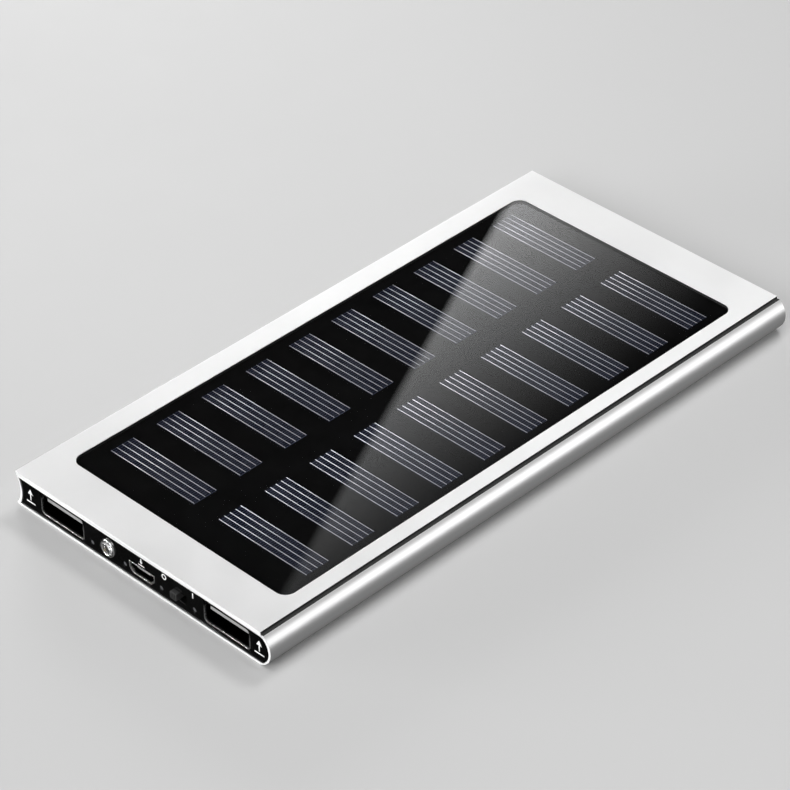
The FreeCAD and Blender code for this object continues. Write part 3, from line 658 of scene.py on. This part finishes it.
def sockets():
    """The bent shells and tongues, with their edges broken; the contacts stay as they are."""
    for side in ("left", "right"):
        shell = from_cad(f"output_shell_{side}", f"socket_shell_{side}", [SHADED_TINNED_STEEL], 0.05 * MM, 2)
        lit_and_shaded_plastic = [TONGUE_SHADED_SIDES, TONGUE]
        tongue = from_cad(f"output_tongue_{side}", f"socket_tongue_{side}", lit_and_shaded_plastic, 0.06 * MM, 2)
        # painted light on the front face and painted shade on the rest
        paint_lit_nose(tongue)
    from_cad("input_shell", "input_socket", [SHADED_TINNED_STEEL], 0.04 * MM, 2)
    from_cad("input_tongue", "input_blade", [TONGUE], 0.04 * MM, 2)


def paint_lit_nose(tongue):
    """Paints a tongue's front face pale and its other faces near black: painted light and painted shade on one
    plastic.
    """
    for face in tongue.data.polygons:
        face.material_index = int(face.normal.y < -0.9)


TORCH_X, TORCH_Z = (ring_low.x + ring_high.x) / 2, (ring_low.z + ring_high.z) / 2
TORCH_BORE = (lamp_high.x - lamp_low.x) / 2 + 0.05 * MM
LENS_RADIUS = TORCH_BORE - 0.06 * MM
LENS_BACK = FACE + 0.5 * MM
DOME_STEPS = 14
BEZEL_ROUND, BEZEL_KNEE = 0.16 * MM, 0.05 * MM   # the rounding of the bezel's outer edge
FLARE_WIDTH, FLARE_DEPTH = 0.22 * MM, 0.25 * MM  # the funnel from the bezel's face down to its bore
FLARE_KNEE_WIDTH, FLARE_KNEE_DEPTH = 0.12 * MM, 0.06 * MM
BOWL_SHAPE = ((1, 0.02), (0.8, 0.5), (0.35, 1.1), (0, 1.2), (0, 1.5), (1, 1.5), (1, 0.02))
CHIP_HALF, CHIP_FRONT, CHIP_BACK = 0.45 * MM, 0.95 * MM, 1.3 * MM


def torch_bezel():
    """The bright ring, with a rounded rim and a funnel down to the lens."""
    outer, lip = (ring_high.x - ring_low.x) / 2, ring_low.y
    profile = [(TORCH_BORE, ring_high.y),
               (TORCH_BORE, lip + FLARE_DEPTH),
               (TORCH_BORE + FLARE_KNEE_WIDTH, lip + FLARE_KNEE_DEPTH),
               (TORCH_BORE + FLARE_WIDTH, lip),
               (outer - BEZEL_ROUND, lip),
               (outer - BEZEL_KNEE, lip + BEZEL_KNEE),
               (outer, lip + BEZEL_ROUND),
               (outer, ring_high.y),
               (TORCH_BORE, ring_high.y)]
    bm = bmesh.new()
    lathe(bm, profile, (TORCH_X, TORCH_Z))
    ring = piece_from(face_outwards(bm), "torch_bezel", [CHROME])
    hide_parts("torch_ring")


def torch_lens():
    """The clear lens, a low dome in front and flat behind."""
    tip = lamp_low.y
    rise = FACE - tip
    ball = (LENS_RADIUS ** 2 + rise ** 2) / (2 * rise)
    swing = math.asin(LENS_RADIUS / ball)
    angles = [swing * step / DOME_STEPS for step in range(DOME_STEPS + 1)]
    dome = [(ball * math.sin(angle), tip + ball - ball * math.cos(angle)) for angle in angles]
    bm = bmesh.new()
    lathe(bm, dome + [(LENS_RADIUS, LENS_BACK), (0, LENS_BACK)], (TORCH_X, TORCH_Z))
    lens = piece_from(face_outwards(bm), "torch_lens", [LENS])
    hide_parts("torch_lamp")


def torch_bowl():
    """The mirrored bowl, from fractions of the lens's radius and millimetres behind the lens."""
    bm = bmesh.new()
    profile = [(share * LENS_RADIUS, LENS_BACK + behind * MM) for share, behind in BOWL_SHAPE]
    lathe(bm, profile, (TORCH_X, TORCH_Z))
    piece_from(face_outwards(bm), "torch_bowl", [CHROME])


def torch_chip():
    """The yellow chip at the bottom of the bowl."""
    bm = bmesh.new()
    block(bm, (TORCH_X - CHIP_HALF, LENS_BACK + CHIP_FRONT, TORCH_Z - CHIP_HALF),
          (TORCH_X + CHIP_HALF, LENS_BACK + CHIP_BACK, TORCH_Z + CHIP_HALF))
    die = piece_from(bm, "torch_chip", [PHOSPHOR])
    soften_edges(die, 0.05 * MM, 2)


LAMP_PLACES = (-14.5 * MM, -4.7 * MM, 6.0 * MM, 15.6 * MM)
PIPE_SINK, PIPE_CROWN = 0.16 * MM, 0.14 * MM     # how far in a pipe's tip is, and how much it domes
PIPE_STEPS = 6


def light_pipes():
    """The domed ends of the level lamps' pipes, just inside their holes."""
    low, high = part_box("level_pipes")
    radius = (high.z - low.z) / 2
    angles = [math.pi / 2 * step / PIPE_STEPS for step in range(PIPE_STEPS + 1)]
    nose = [(radius * math.sin(angle), FACE + PIPE_SINK + PIPE_CROWN * (1 - math.cos(angle)))
            for angle in angles]
    bm = bmesh.new()
    for x in LAMP_PLACES:
        part = bmesh.new()
        lathe(part, nose + [(radius, high.y), (0, high.y)], (x, (low.z + high.z) / 2), 24)
        add_part(bm, face_outwards(part))
    pipes = piece_from(bm, "level_light_pipes", [FROSTED])
    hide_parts("level_pipes")


def add_part(bm, part):
    """Moves a finished bmesh into another."""
    mesh = bpy.data.meshes.new("part")
    part.to_mesh(mesh)
    part.free()
    bm.from_mesh(mesh)
    bpy.data.meshes.remove(mesh)


KNOB_HALF, KNOB_CORNER = 0.95 * MM, 0.3 * MM
SLIDE_BLOCK_FRONT = -74.9 * MM                   # y at which the knob grows out of the block
RIBS, RIB_PITCH, RIB_WIDTH = 3, 0.5 * MM, 0.16 * MM
RIB_HEIGHT, RIB_INSET = 0.18 * MM, 0.15 * MM
KNOB_EDGE = 0.05 * MM


def switch_knob():
    """The slider: a block inside the switch and a ribbed knob that stands out of the slot."""
    bm = bmesh.new()
    block(bm, (knob_low.x, SLIDE_BLOCK_FRONT, knob_low.z), (knob_high.x, knob_high.y, knob_high.z))
    slider = piece_from(bm, "switch_slide_block", [KNOB], "slider")
    soften_edges(slider, KNOB_EDGE, 2)
    middle = (knob_low.x + knob_high.x) / 2
    tip = knob_low.y + RIB_HEIGHT
    outline = rounded_rectangle((middle - KNOB_HALF, knob_low.z), (middle + KNOB_HALF, knob_high.z),
                                KNOB_CORNER, 5)
    bm = bmesh.new()
    prism(bm, outline, tip, SLIDE_BLOCK_FRONT - tip)
    for number in range(RIBS):
        x = middle + (number - (RIBS - 1) / 2) * RIB_PITCH
        block(bm, (x - RIB_WIDTH / 2, knob_low.y, knob_low.z + RIB_INSET),
              (x + RIB_WIDTH / 2, tip, knob_high.z - RIB_INSET))
    knob = piece_from(face_outwards(bm), "switch_knob", [KNOB], "slider")
    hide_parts("switch_slider")
    soften_edges(knob, KNOB_EDGE, 2)


# ---------------------------------------------------------------- printed marks

INK = 0.012 * MM                                 # how far the print stands off the black face
STROKE = 0.3 * MM
HEAD_SLIMNESS = 0.62                             # half an arrowhead's width over its length
OUTPUT_MARKS = {"left": -33.2 * MM, "right": 34.1 * MM}
OUTPUT_MARK_Z, INPUT_MARK_X, INPUT_MARK_Z = 4.0 * MM, 0.4 * MM, 5.75 * MM
SWITCH_MARKS_Z, OFF_MARK_X, ON_MARK_X = 6.0 * MM, 7.1 * MM, 15.4 * MM
ON_MARK_HEIGHT = 1.3 * MM
OFF_MARK_INSIDE, OFF_MARK_OUTSIDE = 0.42 * MM, 0.68 * MM


def printed(name, *outlines):
    """A mark printed on the port end's face, from closed outlines in the XZ plane."""
    bm = bmesh.new()
    for outline in outlines:
        prism(bm, outline, FACE - INK, INK * 2)
    piece = piece_from(face_outwards(bm), name, [WHITE_INK])
    return piece


def flat(*points):
    """Points in the XZ plane."""
    return [Vector((x, 0, z)) for x, z in points]


def bar(x, low, high, half):
    """The outline of an upright or level bar about x."""
    return flat((x - half, low), (x + half, low), (x + half, high), (x - half, high))


def arrow(x, z, length, head, way):
    """An arrow along Z; way is +1 for one that points up and -1 for down."""
    tip, tail = z + way * length / 2, z - way * length / 2
    neck = tip - way * head
    half = head * HEAD_SLIMNESS
    return bar(x, tail, neck, STROKE / 2), flat((x - half, neck), (x + half, neck), (x, tip))


def socket_marks():
    """Arrows out of the output sockets and into the input, each over a line."""
    z = OUTPUT_MARK_Z
    for side, x in OUTPUT_MARKS.items():
        line = bar(x, z - 1.75 * MM, z - 1.4 * MM, 1.35 * MM)
        printed(f"mark_output_{side}", *arrow(x, z + 0.35 * MM, 2.8 * MM, 1.3 * MM, 1), line)
    x, z = INPUT_MARK_X, INPUT_MARK_Z
    line = bar(x, z - 0.85 * MM, z - 0.6 * MM, 0.9 * MM)
    printed("mark_input", *arrow(x, z + 0.25 * MM, 1.4 * MM, 0.7 * MM, -1), line)


def switch_marks():
    """A bar for on and a ring for off."""
    half = ON_MARK_HEIGHT / 2
    printed("mark_on", bar(ON_MARK_X, SWITCH_MARKS_Z - half, SWITCH_MARKS_Z + half, STROKE / 2))
    bm = bmesh.new()
    profile = [(OFF_MARK_INSIDE, FACE - INK), (OFF_MARK_OUTSIDE, FACE - INK), (OFF_MARK_OUTSIDE, FACE + INK),
               (OFF_MARK_INSIDE, FACE + INK), (OFF_MARK_INSIDE, FACE - INK)]
    lathe(bm, profile, (OFF_MARK_X, SWITCH_MARKS_Z), 32)
    piece_from(face_outwards(bm), "mark_off", [WHITE_INK])


# ---------------------------------------------------------------- studio

VIEW_AZIMUTH, VIEW_ELEVATION, VIEW_ROLL = 44.906, 36.731, -0.622
VIEW_DISTANCE, LENS_LENGTH = 0.710, 154.83
VIEW_TARGET = Vector((0.14, -5.54, 8.35)) * MM
SENSOR_WIDTH = 36
FLOOR_REACH = 3


def direction(azimuth, elevation):
    """The way from the object to a place at an azimuth from the port end and an elevation, in degrees."""
    a, e = math.radians(azimuth), math.radians(elevation)
    return Vector((math.sin(a) * math.cos(e), -math.cos(a) * math.cos(e), math.sin(e)))


def camera():
    """The view of the port end and the spine from above."""
    data = bpy.data.cameras.new("camera")
    data.lens, data.sensor_width = LENS_LENGTH, SENSOR_WIDTH
    data.clip_start, data.clip_end = 0.01, 20
    shot = bpy.data.objects.new("camera", data)
    bpy.context.scene.collection.objects.link(shot)
    back = direction(VIEW_AZIMUTH, VIEW_ELEVATION)
    turn = (-back).to_track_quat("-Z", "Y").to_matrix().to_4x4()
    roll = Matrix.Rotation(math.radians(VIEW_ROLL), 4, "Z")
    shot.matrix_world = Matrix.Translation(VIEW_TARGET + back * VIEW_DISTANCE) @ turn @ roll
    bpy.context.scene.camera = shot


def floor():
    """The plain pale floor, which gloss doesn't mirror."""
    bm = bmesh.new()
    bmesh.ops.create_grid(bm, x_segments=1, y_segments=1, size=FLOOR_REACH)
    mesh = bpy.data.meshes.new("floor")
    bm.to_mesh(mesh)
    bm.free()
    ground = bpy.data.objects.new("floor", mesh)
    bpy.context.scene.collection.objects.link(ground)
    mesh.materials.append(grained("studio_floor", grey(0.46), grey(0.44), (0.5, 0.6), mottle=0.3,
                                  grain=0.01, depth=0.0))
    ground.visible_glossy = False


def softbox(name, azimuth, elevation, distance, size, power, scatters=True, shines=True):
    """A lamp that faces the object: it lights matt surfaces if it scatters, and shows in gloss if it shines."""
    data = bpy.data.lights.new(name, "AREA")
    data.shape = "RECTANGLE"
    data.size, data.size_y = size
    data.energy = power
    lamp = bpy.data.objects.new(name, data)
    bpy.context.scene.collection.objects.link(lamp)
    back = direction(azimuth, elevation)
    turn = (-back).to_track_quat("-Z", "Y").to_matrix().to_4x4()
    lamp.matrix_world = Matrix.Translation(back * distance) @ turn
    lamp.visible_diffuse, lamp.visible_glossy = scatters, shines
    lamp.visible_transmission = False


SHEEN_STRENGTH, SHEEN_FADE, SHEEN_HEIGHT = 2.25, 1.8, 0.6
SHEEN_EDGE_WIDTH = 2.2 * MM                      # how soft the sheen's slanting edge is, on the glass
SHEEN_SWEEP = Vector((1, 0.15, 0)).normalized()  # the way in which the sheen fades
EDGE_TOP_DROP, EDGE_FOOT_INSET = 6.7 * MM, 2.3 * MM
FADED_PAST = 10 * MM                             # how far past the glass's right side the sheen has gone


def sheen_card():
    """A card that only shows as the sheen on the glass, with a slanting soft edge and light that fades."""
    mirror = bpy.context.scene.camera.matrix_world.translation.copy()
    mirror.z = 2 * glass_high.z - mirror.z
    spread = (SHEEN_HEIGHT - mirror.z) / (glass_high.z - mirror.z)

    def seen_at(x, y):
        """The place in the card's plane that the glass mirrors at x, y."""
        return mirror + (Vector((x, y, glass_high.z)) - mirror) * spread

    edge_top = seen_at(glass_low.x, glass_high.y - EDGE_TOP_DROP)
    edge_foot = seen_at(glass_high.x - EDGE_FOOT_INSET, glass_low.y)
    inwards = Z.cross((edge_foot - edge_top).normalized())
    brightest = seen_at(glass_low.x, glass_high.y)
    dimmest = seen_at(glass_high.x + FADED_PAST, glass_low.y / 3)
    near_right, far_right = seen_at(glass_high.x, glass_low.y), seen_at(glass_high.x, glass_high.y)
    corners = (edge_foot, near_right, far_right, brightest, edge_top)
    bm = bmesh.new()
    bm.faces.new([bm.verts.new(corner) for corner in corners])
    mesh = bpy.data.meshes.new("sheen_card")
    bm.to_mesh(mesh)
    bm.free()
    card = bpy.data.objects.new("sheen_card", mesh)
    bpy.context.scene.collection.objects.link(card)
    material, tree, _ = start_material("sheen_card_light")
    place = add_node(tree, "ShaderNodeTexCoord").outputs["Object"]
    fade = ramp_along(tree, place, SHEEN_SWEEP, dimmest, brightest)
    edge = ramp_along(tree, place, inwards, edge_top, edge_top + inwards * SHEEN_EDGE_WIDTH * spread)
    strength = maths(tree, "MULTIPLY", maths(tree, "POWER", fade, SHEEN_FADE), SHEEN_STRENGTH)
    within = maths(tree, "MULTIPLY", strength, edge)
    glow = add_node(tree, "ShaderNodeEmission", {"Color": grey(1.0), "Strength": within})
    tree.links.new(glow.outputs[0], tree.nodes["Material Output"].inputs["Surface"])
    mesh.materials.append(material)
    card.visible_camera = card.visible_diffuse = card.visible_shadow = False


DARK_LIGHT, SKY_LIGHT, LOW_LIGHT = 0.006, 0.34, 0.19
DARK_WAY = direction(225, 37)                    # the middle of the dark flag that keeps the glass black
FLAG_CORE, FLAG_RIM = 0.82, 0.55                 # cosines of the angles at which it fades and has gone
LOW_DARK_X, LOW_LIT_X = -0.5, 0.1                # how far to +X a way below the horizon is dark and lit
HORIZON = 0.02


def studio():
    """A grey room with a dark flag on the left, and soft lamps that mostly light the metal."""
    bpy.context.scene.view_settings.view_transform = "Standard"
    world = bpy.data.worlds.new("studio")
    bpy.context.scene.world = world
    world.use_nodes = True
    room = world.node_tree
    background = room.nodes["Background"]
    background.inputs["Color"].default_value = grey(1.0)
    way = add_node(room, "ShaderNodeTexCoord").outputs["Generated"]
    parts = add_node(room, "ShaderNodeSeparateXYZ", {"Vector": way})
    sky = remapped(room, how_far_along(room, way, DARK_WAY), FLAG_CORE, FLAG_RIM, DARK_LIGHT, SKY_LIGHT)
    low = remapped(room, parts.outputs["X"], LOW_DARK_X, LOW_LIT_X, DARK_LIGHT, LOW_LIGHT)
    strength = remapped(room, parts.outputs["Z"], -HORIZON, HORIZON, low, sky)
    room.links.new(strength, background.inputs["Strength"])
    softbox("overhead", 0, 85, 1.8, (1.2, 1.2), 18, shines=False)
    softbox("back_softbox", 193, 52, 1.8, (0.7, 0.4), 11.2)
    softbox("left_softbox", 235, 10, 1.8, (0.7, 0.25), 20.5, scatters=False)
    softbox("spine_softbox", 125, 16, 1.3, (0.7, 0.75), 2.7)
    softbox("front_fill", 15, 32, 1.4, (0.7, 0.5), 9.2)
    softbox("low_front_strip", -38, 5, 1.3, (0.8, 0.12), 13)


camera()
floor()
studio()
sheen_card()
finish_cad_nodes()
casing()
panel()
caps()
sockets()
torch_bezel()
torch_lens()
torch_bowl()
torch_chip()
light_pipes()
switch_knob()
socket_marks()
switch_marks()

bpy.context.view_layer.update()
